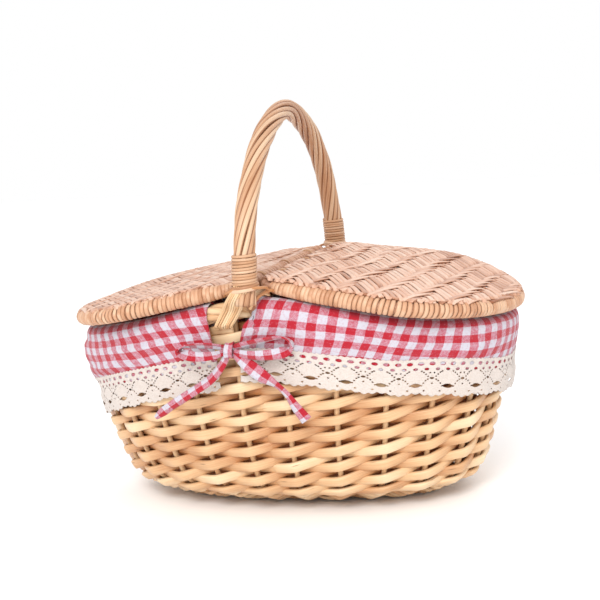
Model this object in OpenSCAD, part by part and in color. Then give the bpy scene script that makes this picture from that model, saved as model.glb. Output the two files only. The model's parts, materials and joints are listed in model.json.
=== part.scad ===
// Oval willow picnic basket: woven body, fixed twisted handle, two hinged lids and a folded cotton lining.
// Origin: middle of the underside. +X runs along the basket, +Y to its back, +Z up. All sizes in millimetres.

/* [Body] */
// Half length of the woven wall at its top, outside
body_a = 186; // [160:1:210]
// Half width of the woven wall at its top, outside
body_b = 127; // [115:1:140]
// How far the wall draws in from its top down to the rounded corner
wall_draw = 37; // [25:1:45]
// How far the rounded bottom corner draws in
corner_draw = 37; // [25:1:42]
// Thickness of the weaving
wall_thick = 12; // [9:0.5:14]
// Number of upright stakes
stake_count = 24; // [16:2:32]
// Radius of a stake
stake_r = 2.3; // [2:0.1:3]

/* [Rim and lids] */
// Height of the rim's middle line at the handle, before the ridge is softened
rim_top = 179; // [160:1:200]
// Radius of the rolled border
border_r = 8; // [6:0.5:9]
// Slope of the rim and of each closed lid, degrees
lid_tilt = 10.4; // [4:0.2:12]
// Height of the hinge axes
hinge_z = 197; // [194:0.5:200]
// Distance of each hinge axis from the middle
hinge_x = 8; // [7.5:0.5:10]
// Length of a lid along its slope, from the middle of the basket to the middle of its hoop
lid_a = 192.4; // [185:0.2:200]
// Half width of a lid at its widest, to the middle of its hoop
lid_b = 126.6; // [118:0.2:130]
// Radius of the hoop rod inside its winding
hoop_r = 5.4; // [4:0.1:6]
// Radius of the hoop over its winding
hoop_wrap_r = 6.9; // [6:0.1:7]

/* [Handle] */
// Half width of the handle's middle line at its feet
handle_w = 142.4; // [141:0.2:146]
// Height of the handle's middle line at its top
handle_top = 331.7; // [300:1:350]
// Radius of the core rod
core_r = 5; // [4:0.5:6]
// Radius of the handle over its twisted rods
handle_r = 10; // [8:0.5:10]
// Radius of the whipping round each foot
binding_r = 11.4; // [11:0.1:12]

/* [Cloth] */
// Drop of the gingham hem below the middle line of the rim
hem_drop = 26; // [20:1:45]
// Height of the lace below the hem
lace_h = 30; // [20:1:35]
// How much lower the left flap hangs at its end
left_sag = 12; // [0:1:16]
// Thickness of the folded cotton
cloth_thick = 1.6; // [1:0.2:2]

/* [Hidden] */

willow = "burlywood";
dark_willow = "peru";
lid_willow = "tan";
gingham = "indianred";
lace = "ivory";

$fn = 32;

// Plan of the body
oval_n = 2.2;          // 2 is an ellipse, more is squarer
flare_h = 158;         // height at which the wall stops leaning out
flare_pow = 2;
corner_h = 40;         // height of the rounded bottom corner
corner_pow = 3.5;
side_lean = 8.5;       // extra lean of the long sides
side_lean_h = 180;
loop_steps = 56;       // stations round the oval

// Heights
wale_top = 24;         // the waled band at the bottom ends here
floor_z = 3;           // underside of the base weave
floor_thick = 6;
floor_inset = 5;       // the base weave ends this far inside the wall's outside
stick_inset = 8;
stick_ys = [-12, 0, 12];
stick_xs = [-75:25:75];
long_stick_r = 2.5;
cross_stick_r = 2.2;
cross_stick_half = 40;
stand_w = 14;          // width of the ring that stands on the floor
wale_lip = 6;          // the wale's inner lip rises from this height
wale_waist = 12;       // and meets the wall's inside at this one
stake_low = 7;
stake_tuck = 2;        // stakes end this far below the border's middle line

// Rim
rim_in = 6;            // the border's middle line is this far inside the wall's outside
ridge_soft = 20;       // softens the ridge of the saddle under the handle
rim_slope = tan(lid_tilt);

// Handle
foot_z = 185.5;        // the arch starts here and the core bends into the wall below
core_foot_z = 70;
arch_pow_y = 2 / 1.713;
arch_pow_z = 2 / 2.185;
binding_low = 197;
binding_high = 225;
rods_low = 187;
sleeve_play = 0.3;     // between the sleeves that stand for wound rods
lashing_r = 1.5;
lashing_count = 6;
lashing_step = 3.2;

// Lids
lid_wide_x = 103;      // distance from the middle at which a lid is widest
lid_narrow = 8.5;      // how much narrower each side is at the hinge
lid_end_n = 1.78;      // roundness of the lid's end
lid_corner_x = 22;     // corner bend, along the lid
bar_half = 108;        // half length of the lid's inner stick
bar_r = 4.5;
bar_wrap_r = 5.3;
bar_winding_inset = 8; // the winding stops short of the stick's ends
panel_thick = 5;
panel_inset = 3;       // the panel's edge lies this far inside the middle of the hoop
panel_gap = 7.4;       // the panel keeps this far from the hinge axis, clear of the hinge loops
rib_ys = [-90, -54, -36, -18, 18, 36, 54, 90];
rib_r = 2;

// Hinge
crossbar_z = 188.2;
crossbar_r = 4.2;
crossbar_half = 131.8;
loop_w = 7;            // width of a willow hinge loop along the bar
loop_ys = [-66, 6, 78];
loop_play = 0.06;      // running clearance of a lid stick in its loops
loop_wall = 2;
loop_side_gap = 0.6;

// Cloth
flap_gap = 0.4;        // cloth to border
hem_gap = 1.6;         // cloth to wall at the hem
cuff_in = 12;          // the inner leg of the fold hangs this far below the border's middle line
border_out = 5;        // the cloth stands this far off the wall where it leaves the border
lace_thick = 1.2;
lace_taper = 0.6;      // the lace is closer to the wall at its lower edge
lace_step = 0.2;       // the hem lies over the top of the lace
right_start = 12;      // the right flap starts this far right of the handle's middle
left_start = 34;       // the left flap starts this far left of it
liner_thick = 1.2;
liner_gap = 2;         // liner to the inside of the wall
tape_thick = 3;
knot_r = 6.5;

// ---------- formulas ----------

function spow(v, e) = sign(v) * pow(abs(v), e);
function unit(v) = v / norm(v);
function oval(a, b, t) = [a * spow(cos(t), 2 / oval_n), b * spow(sin(t), 2 / oval_n)];

// Draw-in of the wall at height z
function draw_in(z) = wall_draw * pow(max(0, 1 - z / flare_h), flare_pow)
    + corner_draw * pow(max(0, 1 - z / corner_h), corner_pow);
function lean(z) = side_lean * (1 - pow(min(1, max(0, z) / side_lean_h), 4));
function half_l(z) = body_a - draw_in(z);
function half_w(z) = body_b - draw_in(z) - lean(z);

// A point of the wall, off millimetres outside its outer surface
function wall_pt(t, z, off) = concat(oval(half_l(z) + off, half_w(z) + off, t), [z]);

// The saddle-shaped middle line of the rim
rim_a = body_a - rim_in;
rim_b = body_b - rim_in;
function saddle_z(x) = rim_top - rim_slope * sqrt(x * x + ridge_soft * ridge_soft);
function rim_z(t) = saddle_z(oval(rim_a, rim_b, t)[0]);
function rim_pt(t, out, up) = concat(oval(rim_a + out, rim_b + out, t), [rim_z(t) + up]);

// Angle at a distance s round the oval, as a share of the whole way from the middle of the near side
way = [for (i = 0, s = 0, t = -90; i <= 360;
        i = i + 1, t = -90 + i, s = s + norm(oval(rim_a, rim_b, t) - oval(rim_a, rim_b, t - 1))) [s, t]];
way_length = way[360][0];
function t_at(share) = lookup(share * way_length, way);

// Middle line of the handle
function arch_y(z) = handle_w
    * pow(1 - pow((z - foot_z) / (handle_top - foot_z), 2 / arch_pow_z), arch_pow_y / 2);
function arch_pt(a) = [0, -handle_w * spow(cos(a), arch_pow_y),
    foot_z + (handle_top - foot_z) * pow(sin(a), arch_pow_z)];
function smooth(f) = f * f * (3 - 2 * f);
blend_h = 36;          // the core moves from the arch into the wall over this height
function core_y(z) = let (f = smooth(min(1, (foot_z - z) / blend_h)))
    handle_w * (1 - f) + (half_w(z) - wall_thick / 2) * f;

// Outline of half a lid, measured from the middle of the basket along the slope
function lid_side(x) = lid_b - lid_narrow * pow((lid_wide_x - x) / lid_wide_x, 2);
corner_end = hinge_x + lid_corner_x;
function lid_half(inset) = concat(
    [for (a = [0:22.5:67.5]) [corner_end - (lid_corner_x - inset) * cos(a),
        -bar_half - (lid_side(corner_end) - bar_half - inset) * sin(a)]],
    [for (x = [corner_end:14:lid_wide_x]) [x, -lid_side(x) + inset]],
    [for (a = [90:-9:9]) [lid_wide_x + (lid_a - lid_wide_x - inset) * pow(cos(a), 2 / lid_end_n),
        -(lid_b - inset) * pow(sin(a), 2 / lid_end_n)]]);
function flip(points) = [for (i = [len(points) - 1:-1:0]) [points[i][0], -points[i][1]]];
function lid_outline(inset) = concat(lid_half(inset), [[lid_a - inset, 0]], flip(lid_half(inset)));

// ---------- swept and lofted solids ----------

function ring(p, dir, ref, r, sides) =
    let (u = unit(ref - (ref * dir) * dir), v = cross(dir, u))
    [for (k = [0:sides - 1]) p + r * cos(360 * k / sides) * u + r * sin(360 * k / sides) * v];
function tangent(path, i, closed) = let (n = len(path))
    unit(path[closed ? (i + 1) % n : min(n - 1, i + 1)] - path[closed ? (i + n - 1) % n : max(0, i - 1)]);

// Triangles between station i and station j of a body whose stations have k points each
function band(i, j, k) = [for (m = [0:k - 1]) let (a = i * k + m, b = i * k + (m + 1) % k,
        c = j * k + (m + 1) % k, d = j * k + m) each [[a, c, b], [a, d, c]]];

// A closed body through equal rings of points; closed joins the last ring to the first
module loft(rings, closed = false) {
    n = len(rings);
    k = len(rings[0]);
    bands = [for (i = [0:n - (closed ? 1 : 2)]) each band(i, (i + 1) % n, k)];
    caps = closed ? [] : [[for (m = [0:k - 1]) m], [for (m = [k - 1:-1:0]) (n - 1) * k + m]];
    polyhedron([for (r = rings) each r], concat(bands, caps), convexity = 6);
}

// A round rod along a path; ref is a direction that the path never runs along
module rod(path, r, ref, sides = 8, closed = false) {
    loft([for (i = [0:len(path) - 1]) ring(path[i], tangent(path, i, closed), ref, r, sides)], closed);
}

// ---------- body ----------

// Long and short sticks of the oval base
module base_sticks() {
    stick_z = floor_z + floor_thick / 2;
    long_half = half_l(floor_z) - stick_inset;
    color(willow) {
        for (y = stick_ys)
            translate([-long_half, y, stick_z]) rotate([0, 90, 0]) cylinder(h = 2 * long_half, r = long_stick_r);
        for (x = stick_xs)
            translate([x, -cross_stick_half, stick_z]) rotate([-90, 0, 0])
                cylinder(h = 2 * cross_stick_half, r = cross_stick_r);
    }
}

// Rounds woven over and under the sticks, as one oval plate
module base_weave() {
    edge = [for (t = [0:5:355]) oval(half_l(floor_z) - floor_inset, half_w(floor_z) - floor_inset, t)];
    color(dark_willow) translate([0, 0, floor_z]) linear_extrude(floor_thick) polygon(edge);
}

wale_levels = [0, 3.5, 8, 14, wale_top];
function wale_section(t) = concat(
    [wall_pt(t, 0, -stand_w)],
    [for (z = wale_levels) wall_pt(t, z, 0)],
    [wall_pt(t, wale_top, -wall_thick)],
    [wall_pt(t, wale_waist, -wall_thick)],
    [wall_pt(t, wale_lip, -wall_thick - 3)],
    [concat(oval(half_l(0) - stand_w, half_w(0) - stand_w, t), [wale_lip])]);

// The waled band that turns the rounded corner and stands on the floor
module base_wale() {
    color(willow) loft([for (i = [0:loop_steps - 1]) wale_section(360 * i / loop_steps)], closed = true);
}

// Upright stakes, spaced evenly round the oval, standing in the middle of the weaving
module side_stakes() {
    color(willow) for (i = [0:stake_count - 1]) {
        t = t_at((i + 0.5) / stake_count);
        rise = rim_z(t) - stake_tuck - stake_low;
        path = [for (f = [0, 0.06, 0.15, 0.3, 0.5, 0.75, 1]) wall_pt(t, stake_low + rise * f, -wall_thick / 2)];
        rod(path, stake_r, [-sin(t), cos(t), 0], 8);
    }
}

side_shares = [0, 0.12, 0.28, 0.5, 0.75, 1];
function side_height(t, f) = wale_top + (rim_z(t) - border_r + 1 - wale_top) * f;
function side_section(t) = concat(
    [for (f = side_shares) wall_pt(t, side_height(t, f), 0)],
    [for (i = [len(side_shares) - 1:-1:0]) wall_pt(t, side_height(t, side_shares[i]), -wall_thick)]);

// The French-randed wall, from the waled band up to the border
module side_weave() {
    color(willow) loft([for (i = [0:loop_steps - 1]) side_section(360 * i / loop_steps)], closed = true);
}

// The rolled border on top of the wall
module top_border() {
    path = [for (i = [0:loop_steps - 1]) rim_pt(360 * i / loop_steps, 0, 0)];
    color(willow) rod(path, border_r, [0, 0, 1], 10, closed = true);
}

// ---------- handle ----------

arch_steps = [for (a = [0:7.5:180]) a];

module handle_core() {
    foot = [for (z = [core_foot_z, 90, 115, 140, 155, 165, 175]) [0, -core_y(z), z]];
    far_foot = [for (i = [len(foot) - 1:-1:0]) [0, -foot[i][1], foot[i][2]]];
    color(willow) rod(concat(foot, [for (a = arch_steps) arch_pt(a)], far_foot), core_r, [1, 0, 0], 10);
}

// The rods twisted round the core, as one sleeve
module handle_rods() {
    leg = [for (z = [rods_low, 200]) [0, -arch_y(z), z]];
    far_leg = [for (i = [1, 0]) [0, -leg[i][1], leg[i][2]]];
    path = concat(leg, [for (a = [15:7.5:165]) arch_pt(a)], far_leg);
    long_path = concat([leg[0] - [0, 0, 5]], path, [far_leg[1] - [0, 0, 5]]);
    color(dark_willow) difference() {
        rod(path, handle_r, [1, 0, 0], 12);
        rod(long_path, core_r + sleeve_play, [1, 0, 0], 12);
    }
}

// Whipping of split willow round one foot of the handle
module handle_binding() {
    low = [0, -arch_y(binding_low), binding_low];
    high = [0, -arch_y(binding_high), binding_high];
    color(lid_willow) difference() {
        rod([low, high], binding_r, [1, 0, 0], 24);
        rod([low - (high - low), high + (high - low)], handle_r + sleeve_play, [1, 0, 0], 24);
    }
}

// The fan of thin rods that ties one foot down over the border
module handle_lashing() {
    color(lid_willow) for (k = [0:lashing_count - 1]) {
        x_top = -8 + lashing_step * k;
        x_low = -26 + lashing_step * k;
        bulge = abs(k - (lashing_count - 1) / 2);
        rod([[x_top, -handle_w - 8.4 + bulge, 196],
            [x_top - 3, -handle_w - 6.5, 188],
            [x_low + 6, -rim_b - border_r - 3.4, 177],
            [x_low, -half_w(160) - 5.4, 163]], lashing_r, [1, 0, 0], 8);
    }
}

// ---------- hinge ----------

module crossbar() {
    color(willow) translate([0, -crossbar_half, crossbar_z]) rotate([-90, 0, 0])
        cylinder(h = 2 * crossbar_half, r = crossbar_r);
}

// Willow loops, bound to the crossbar, in which a lid's inner stick turns; drawn for the right lid
module hinge_loops() {
    color(lid_willow) for (y = loop_ys)
        translate([0, y + loop_w / 2, 0]) rotate([90, 0, 0]) linear_extrude(loop_w)
            difference() {
                union() {
                    translate([hinge_x, hinge_z]) circle(bar_r + loop_wall);
                    translate([0, crossbar_z]) circle(crossbar_r + loop_wall);
                }
                translate([hinge_x, hinge_z]) circle(bar_r + loop_play);
                translate([0, crossbar_z]) circle(crossbar_r);
            }
}

// ---------- lid, drawn for the right side ----------

// Puts a lid drawn flat, from the middle of the basket along +X, into its closed place
module on_hinge() {
    translate([hinge_x, 0, hinge_z]) rotate([0, lid_tilt, 0]) translate([-hinge_x, 0, 0]) children();
}

hoop_path = [for (p = concat([[hinge_x, -bar_half]], [for (i = [1:len(lid_outline(0)) - 2]) lid_outline(0)[i]],
    [[hinge_x, bar_half]])) [p[0], p[1], 0]];

module lid_bar() {
    color(lid_willow) translate([hinge_x, -bar_half, hinge_z]) rotate([-90, 0, 0])
        cylinder(h = 2 * bar_half, r = bar_r);
}

module lid_hoop() {
    color(lid_willow) on_hinge() rod(hoop_path, hoop_r, [0, 0, 1], 8);
}

// Skein wound round the hoop: a sleeve, whose stations hold an outer and an inner ring
module lid_hoop_winding() {
    n = len(hoop_path);
    k = 8;
    points = [for (i = [0:n - 1]) let (d = tangent(hoop_path, i, false), p = hoop_path[i])
        each concat(ring(p, d, [0, 0, 1], hoop_wrap_r, k), ring(p, d, [0, 0, 1], hoop_r, k))];
    function at(i, m, inside) = i * 2 * k + inside * k + m % k;
    walls = [for (i = [0:n - 2]) for (m = [0:k - 1]) each [
        [at(i, m, 0), at(i + 1, m + 1, 0), at(i, m + 1, 0)],
        [at(i, m, 0), at(i + 1, m, 0), at(i + 1, m + 1, 0)],
        [at(i, m, 1), at(i, m + 1, 1), at(i + 1, m + 1, 1)],
        [at(i, m, 1), at(i + 1, m + 1, 1), at(i + 1, m, 1)]]];
    e = n - 1;
    ends = [for (m = [0:k - 1]) each [
        [at(0, m, 0), at(0, m + 1, 0), at(0, m + 1, 1)],
        [at(0, m, 0), at(0, m + 1, 1), at(0, m, 1)],
        [at(e, m, 0), at(e, m + 1, 1), at(e, m + 1, 0)],
        [at(e, m, 0), at(e, m, 1), at(e, m + 1, 1)]]];
    color(lid_willow) on_hinge() polyhedron(points, concat(walls, ends), convexity = 6);
}

// Straight ribs from the inner stick to the hoop, buried in the weaving
module lid_ribs() {
    color(willow) on_hinge() for (y = rib_ys) {
        reach = lid_wide_x + (lid_a - lid_wide_x) * pow(1 - pow(abs(y) / lid_b, lid_end_n), 1 / lid_end_n);
        translate([hinge_x, y, 0]) rotate([0, 90, 0]) cylinder(h = reach - hinge_x, r = rib_r);
    }
}

// The twilled panel inside the hoop
module lid_weave() {
    inner = hinge_x + panel_gap;
    color(lid_willow) on_hinge() translate([0, 0, -panel_thick / 2]) linear_extrude(panel_thick)
        intersection() {
            polygon(lid_outline(panel_inset));
            translate([inner, -lid_b]) square([lid_a, 2 * lid_b]);
        }
}

// Winding on the inner stick, between the hinge loops
module lid_bar_winding() {
    play = loop_w / 2 + loop_side_gap;
    starts = concat([-bar_half + bar_winding_inset], [for (y = loop_ys) y + play]);
    ends = concat([for (y = loop_ys) y - play], [bar_half - bar_winding_inset]);
    color(lid_willow) for (i = [0:len(starts) - 1])
        translate([hinge_x, starts[i], hinge_z]) rotate([-90, 0, 0]) difference() {
            cylinder(h = ends[i] - starts[i], r = bar_wrap_r);
            translate([0, 0, -1]) cylinder(h = ends[i] - starts[i] + 2, r = bar_r);
        }
}

// ---------- cloth ----------

liner_shares = [0, 0.08, 0.2, 0.4, 0.7, 1];
liner_steps = 48;
liner_z = floor_z + floor_thick + liner_gap;
liner_tuck = border_r + 2;
function liner_height(t, f) = liner_z + (rim_z(t) - liner_tuck - liner_z) * f;
function liner_ring(f, extra, lift) = [for (i = [0:liner_steps - 1]) let (t = 360 * i / liner_steps)
    wall_pt(t, liner_height(t, f) + lift, -wall_thick - liner_gap - extra)];

// Cotton pouch inside the basket, open at the top and sewn to the flaps
module liner() {
    last = len(liner_shares) - 1;
    outside = [for (f = liner_shares) liner_ring(f, 0, 0)];
    inside = [for (i = [last:-1:0]) liner_ring(liner_shares[i], liner_thick, i == last ? 0 : liner_thick)];
    color(gingham) loft(concat(outside, inside));
}

// Stations from t0 to t1, both ends kept at a distance x from the middle of the basket
function t_of(x, far) = let (c = pow(abs(x) / rim_a, oval_n / 2), a = acos(c))
    x > 0 ? (far ? a : -a) : (far ? 180 - a : 180 + a);
flap_steps = 30;
function flap_angles(t0, t1) = [for (i = [0:flap_steps]) t0 + (t1 - t0) * i / flap_steps];
function sag_at(t, sag) = sag * pow(max(0, -cos(t)), 3);

// Cloth folded over the border; drop is measured below the border's middle line
function cloth_off(d, drop) = border_out - (border_out - hem_gap) * min(1, d / drop);
function flap_section(t, sag) =
    let (drop = hem_drop + sag_at(t, sag), r = border_r + flap_gap, z = rim_z(t),
        inner = [for (a = [180:-30:0]) [r * cos(a), r * sin(a)]],
        outer = [for (a = [0:30:180]) [(r + cloth_thick) * cos(a), (r + cloth_thick) * sin(a)]])
    concat(
        [rim_pt(t, -r, -cuff_in)],
        [for (q = inner) rim_pt(t, q[0], q[1])],
        [wall_pt(t, z - drop * 0.55, cloth_off(0.55 * drop, drop)), wall_pt(t, z - drop, hem_gap)],
        [wall_pt(t, z - drop, hem_gap + cloth_thick),
            wall_pt(t, z - drop * 0.55, cloth_off(0.55 * drop, drop) + cloth_thick)],
        [for (q = outer) rim_pt(t, q[0], q[1])],
        [rim_pt(t, -r - cloth_thick, -cuff_in)]);
module flap(t0, t1, sag) {
    color(gingham) loft([for (t = flap_angles(t0, t1)) flap_section(t, sag)]);
}

// Crocheted edging sewn under the hem
function lace_section(t, sag) = let (top = rim_z(t) - hem_drop - sag_at(t, sag) - 0.1, low = top - lace_h)
    [wall_pt(t, top, hem_gap + lace_step), wall_pt(t, top, hem_gap + lace_step + lace_thick),
        wall_pt(t, (top + low) / 2, hem_gap + lace_thick), wall_pt(t, low, hem_gap + lace_thick - lace_taper),
        wall_pt(t, low, hem_gap - lace_taper), wall_pt(t, (top + low) / 2, hem_gap)];
module lace_edge(t0, t1, sag) {
    color(lace) loft([for (t = flap_angles(t0, t1)) [for (i = [5:-1:0]) lace_section(t, sag)[i]]]);
}

right_near = t_of(right_start, false);
right_far = t_of(left_start, true);
left_near = t_of(-left_start, false);
left_far = t_of(-right_start, true);

// Tie tape in a bow that holds two flaps together at one foot of the handle; drawn for the near side
module bow() {
    knot = [-19, 149];
    loop_outline = [[0, -2], [14, -7], [34, -9], [49, -3], [50, 5], [44, 9], [22, 6], [0, 3]];
    tail_left = [[-3, 2], [-20, -32], [-50, -52], [-77, -66], [-73, -56], [-44, -40], [-12, -4]];
    tail_right = [[0, 0], [22, -22], [40, -44], [58, -64], [50, -62], [32, -46], [10, -24], [-4, -4]];
    front = rim_b + border_r + flap_gap + cloth_thick + 1;
    color(gingham) translate([knot[0], -front, knot[1]]) rotate([90, 0, 0])
        linear_extrude(tape_thick) union() {
            polygon(loop_outline);
            mirror([1, 0]) polygon(loop_outline);
            polygon(tail_left);
            polygon(tail_right);
            circle(knot_r);
        }
}

module back_to_front() {
    rotate([0, 0, 180]) children();
}

base_sticks();
base_weave();
base_wale();
side_stakes();
side_weave();
top_border();
handle_core();
handle_rods();
handle_binding();  // handle_binding_near
back_to_front() handle_binding();  // handle_binding_far
handle_lashing();  // handle_lashing_near
back_to_front() handle_lashing();  // handle_lashing_far
crossbar();
hinge_loops();  // hinge_loops_right
back_to_front() hinge_loops();  // hinge_loops_left
lid_bar();  // lid_bar_right
lid_hoop();  // lid_hoop_right
lid_ribs();  // lid_ribs_right
lid_weave();  // lid_weave_right
lid_hoop_winding();  // lid_hoop_winding_right
lid_bar_winding();  // lid_bar_winding_right
back_to_front() lid_bar();  // lid_bar_left
back_to_front() lid_hoop();  // lid_hoop_left
back_to_front() lid_ribs();  // lid_ribs_left
back_to_front() lid_weave();  // lid_weave_left
back_to_front() lid_hoop_winding();  // lid_hoop_winding_left
back_to_front() lid_bar_winding();  // lid_bar_winding_left
liner();
flap(right_near, right_far, 0);  // flap_right
flap(left_far, left_near, left_sag);  // flap_left
lace_edge(right_near, right_far, 0);  // lace_right
lace_edge(left_far, left_near, left_sag);  // lace_left
bow();  // bow_near
back_to_front() bow();  // bow_far
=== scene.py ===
"""Looks of the wicker picnic basket: willow rods woven one by one, twilled lids, gingham and crochet lace.

Lengths in the tables below are millimetres, as in the design; meshes are written in metres."""

import json
import math
import random

import bpy
import numpy as np
from mathutils import Matrix, Vector


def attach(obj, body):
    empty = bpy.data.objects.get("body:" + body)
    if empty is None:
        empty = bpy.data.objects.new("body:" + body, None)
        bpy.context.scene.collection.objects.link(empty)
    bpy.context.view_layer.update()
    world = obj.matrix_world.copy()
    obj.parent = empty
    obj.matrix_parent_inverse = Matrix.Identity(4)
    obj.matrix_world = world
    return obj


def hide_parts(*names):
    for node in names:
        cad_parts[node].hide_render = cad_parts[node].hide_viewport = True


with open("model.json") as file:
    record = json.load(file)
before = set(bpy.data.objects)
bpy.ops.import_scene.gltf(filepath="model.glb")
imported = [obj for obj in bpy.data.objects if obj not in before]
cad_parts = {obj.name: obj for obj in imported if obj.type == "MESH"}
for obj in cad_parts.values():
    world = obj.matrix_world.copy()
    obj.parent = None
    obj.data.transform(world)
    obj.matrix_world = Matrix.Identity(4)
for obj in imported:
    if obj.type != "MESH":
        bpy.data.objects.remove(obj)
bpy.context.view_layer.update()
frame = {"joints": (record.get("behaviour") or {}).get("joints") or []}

MM = 0.001
PI = math.pi

# ---------- sizes, as in the design ----------

BODY_A, BODY_B = 186.0, 127.0      # half length and half width of the wall at its top
WALL_DRAW, CORNER_DRAW = 37.0, 37.0
FLARE_H, CORNER_H, CORNER_POW = 158.0, 40.0, 3.5
SIDE_LEAN, SIDE_LEAN_H = 8.5, 180.0
OVAL_N = 2.2
WALL_SHIFT, WALL_SHIFT_H = 3.2, 150    # the weave leans a little to the left half way up
STAKES, STAKE_R = 24, 2.3
RIM_IN, BORDER_R, RIDGE_SOFT, RIM_TOP = 6.0, 8.0, 20.0, 179.0
LID_TILT = math.radians(10.4)
HINGE_X = frame["joints"][1]["pos_m"][0] / MM
HINGE_Z = frame["joints"][1]["pos_m"][2] / MM
LID_A, LID_B, LID_WIDE_X, LID_NARROW, LID_END_N = 192.4, 126.6, 103.0, 8.5, 1.78
LID_CORNER_X, BAR_HALF, BAR_R = 22.0, 108.0, 4.5
HOOP_R = 5.4
LOOP_YS = (-66.0, 6.0, 78.0)
CROSSBAR_Z, CROSSBAR_R, CROSSBAR_HALF = 188.2, 4.2, 131.8
HANDLE_W, HANDLE_TOP, FOOT_Z = 142.4, 331.7, 185.5
ARCH_POW_Y, ARCH_POW_Z = 2 / 1.713, 2 / 2.185
HANDLE_R = 8.6
BINDING_LOW, BINDING_HIGH = 197.0, 225.0
HEM_DROP, LACE_H, LEFT_SAG = 26.0, 30.0, 12.0
CHECK = 6.8                        # side of one gingham check
GATHER = 1.12                      # cloth that a flap's folds take up, down its drop

# ---------- camera ----------


def make_camera():
    """The viewing angle: to the right of the front, a little above the rim, leaning four degrees."""
    azimuth, elevation, roll = math.radians(16.32), math.radians(8.52), math.radians(3.77)
    distance, focal_px, image_px = 1.176, 1350.2, 600
    aim = Vector((0, 0, 0.163))
    back = Vector((math.sin(azimuth) * math.cos(elevation), -math.cos(azimuth) * math.cos(elevation),
                   math.sin(elevation)))
    right = Vector((math.cos(azimuth), math.sin(azimuth), 0))
    up = back.cross(right)
    right, up = right * math.cos(roll) - up * math.sin(roll), right * math.sin(roll) + up * math.cos(roll)
    data = bpy.data.cameras.new("camera")
    data.sensor_width = 36
    data.lens = focal_px * data.sensor_width / image_px
    data.shift_x, data.shift_y = 0.0034, 0.0071
    camera = bpy.data.objects.new("camera", data)
    bpy.context.scene.collection.objects.link(camera)
    rotation = Matrix((right, up, back)).transposed().to_4x4()
    camera.matrix_world = Matrix.Translation(aim + back * distance) @ rotation
    bpy.context.scene.camera = camera


make_camera()

# ---------- shape of the basket ----------

UP = np.array([0.0, 0.0, 1.0])


def xyz(x, y, z):
    """Points from their coordinates; a single number counts for all of them."""
    return np.stack(np.broadcast_arrays(x, y, z), -1)


def smooth(f):
    """Soft step from 0 to 1."""
    f = np.clip(f, 0, 1)
    return f * f * (3 - 2 * f)


def unit(v):
    return v / np.maximum(np.linalg.norm(v, axis=-1, keepdims=True), 1e-12)


def around(angle, u, v):
    """Directions at angles turned from u towards v."""
    return np.cos(angle)[:, None] * u + np.sin(angle)[:, None] * v


def way_along(path):
    """Distance along a path at each of its points."""
    return np.concatenate([[0], np.cumsum(np.linalg.norm(np.diff(path, axis=0), axis=1))])


def points_at(at, way, path):
    """Points at given distances along a path, way being the distance of its own points."""
    return np.stack([np.interp(at, way, path[:, k]) for k in range(path.shape[1])], -1)


def even_path(path, step):
    """The path again with its points about a step apart, and their distance along it."""
    way = way_along(path)
    s = np.linspace(0, way[-1], max(2, int(way[-1] / step)))
    return points_at(s, way, path), s


def smooth_curve(values, u):
    """Catmull-Rom curve through values at whole u."""
    values = np.asarray(values, float)
    n = len(values)
    i = np.clip(u.astype(int), 0, n - 2)
    f = u - i
    p0, p1 = values[np.maximum(i - 1, 0)], values[i]
    p2, p3 = values[i + 1], values[np.minimum(i + 2, n - 1)]
    return 0.5 * (2 * p1 + (p2 - p0) * f + (2 * p0 - 5 * p1 + 4 * p2 - p3) * f ** 2
                  + (3 * p1 - p0 - 3 * p2 + p3) * f ** 3)


def smooth_path(points, u):
    """Catmull-Rom curve through points at whole u."""
    return np.stack([smooth_curve(row, u) for row in np.asarray(points, float).T], -1)


def ring(n):
    """Angles of n even places round a full turn."""
    return np.linspace(0, 2 * PI, n, endpoint=False)


def spow(v, e):
    """Power that keeps the sign."""
    return np.sign(v) * np.abs(v) ** e


def oval(a, b, t):
    """A point of the plan outline, t in radians."""
    return a * spow(np.cos(t), 2 / OVAL_N), b * spow(np.sin(t), 2 / OVAL_N)


def draw_in(z):
    """How far the wall lies inside its top outline."""
    z = np.asarray(z, float)
    return (WALL_DRAW * np.maximum(0, 1 - z / FLARE_H) ** 2
            + CORNER_DRAW * np.maximum(0, 1 - z / CORNER_H) ** CORNER_POW)


def lean(z):
    """How much further in the long sides lie than the ends."""
    return SIDE_LEAN * (1 - np.clip(np.asarray(z, float) / SIDE_LEAN_H, 0, 1) ** 4)


def wall(t, z):
    """A point of the outer surface of the wall."""
    t, z = np.broadcast_arrays(np.asarray(t, float), np.asarray(z, float))
    x, y = oval(BODY_A - draw_in(z), BODY_B - draw_in(z) - lean(z), t)
    return xyz(x - WALL_SHIFT * np.sin(PI * np.clip(z / WALL_SHIFT_H, 0, 1)), y, z)


def wall_normal(t, z):
    e = 0.02
    along = wall(t + e, z) - wall(t - e, z)
    up = wall(t, np.asarray(z) + 0.5) - wall(t, np.maximum(np.asarray(z) - 0.5, 0.0))
    return unit(np.cross(along, up))


def wall_off(t, z, off, level=0.0):
    """A point off millimetres outside the wall; level 1 keeps its height, 0 follows the wall's normal."""
    normal = wall_normal(t, z)
    flat = unit(xyz(normal[..., 0], normal[..., 1], normal[..., 2] * (1 - level)))
    return wall(t, z) + flat * np.asarray(off)[..., None]


def saddle_z(x):
    """Height of the rim, which falls from the handle to both ends."""
    return RIM_TOP - math.tan(LID_TILT) * np.sqrt(np.asarray(x) ** 2 + RIDGE_SOFT ** 2)


def rim(t, out=0.0, up=0.0):
    """A point beside the saddle-shaped middle line of the rim."""
    x0, _ = oval(BODY_A - RIM_IN, BODY_B - RIM_IN, t)
    x, y = oval(BODY_A - RIM_IN + out, BODY_B - RIM_IN + out, t)
    return xyz(x, y, saddle_z(x0) + up)


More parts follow.
